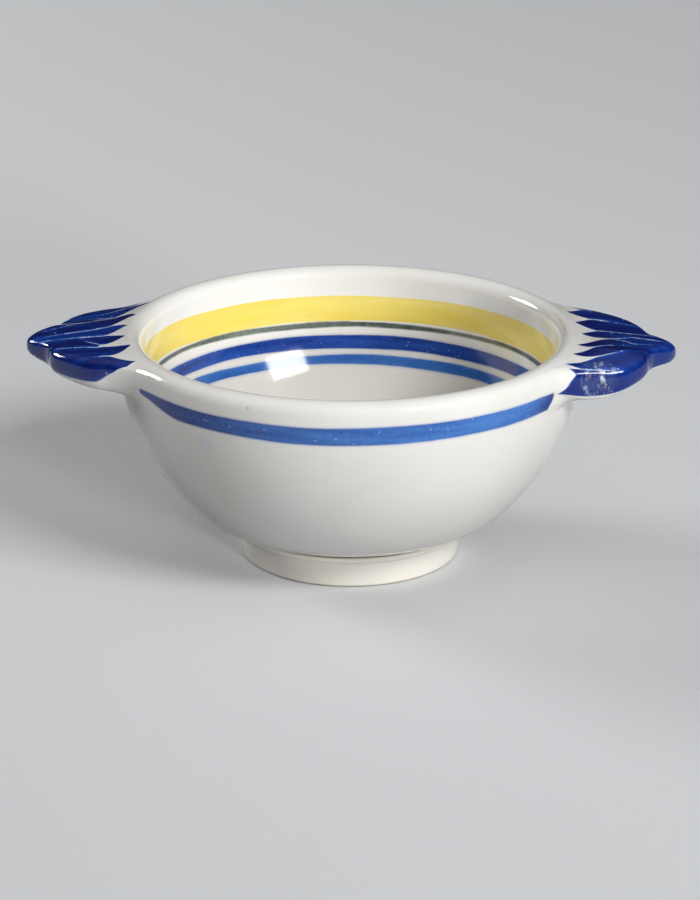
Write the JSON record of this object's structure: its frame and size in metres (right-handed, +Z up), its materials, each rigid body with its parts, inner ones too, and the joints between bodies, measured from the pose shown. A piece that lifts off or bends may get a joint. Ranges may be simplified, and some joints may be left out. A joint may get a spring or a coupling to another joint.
{
  "type": "lug bowl",
  "caption": "Round glazed earthenware bowl with a rolled lip, painted bands, a foot ring and flat shell-shaped lugs at the rim to lift it by.",
  "frame": {"origin": "on the table, under the middle of the foot ring", "axes": "+Z up out of the bowl's mouth, +X from the middle through the right lug, +Y towards the back"},
  "size_m": [0.19, 0.137, 0.069],
  "materials": {
    "white_glaze": "glossy warm white tin glaze with painted bands",
    "foot_glaze": "thin creamy white glaze, worn where it stands",
    "cobalt_glaze": "glossy cobalt blue brush strokes over white tin glaze"
  },
  "bodies": {
    "root": {"bowl_body": "white_glaze", "foot_ring": "foot_glaze", "foot_slip_bead": "foot_glaze", "lug_left": "cobalt_glaze", "lug_right": "cobalt_glaze", "lug_fillet_left": "white_glaze", "lug_fillet_right": "white_glaze"}
  },
  "joints": []
}
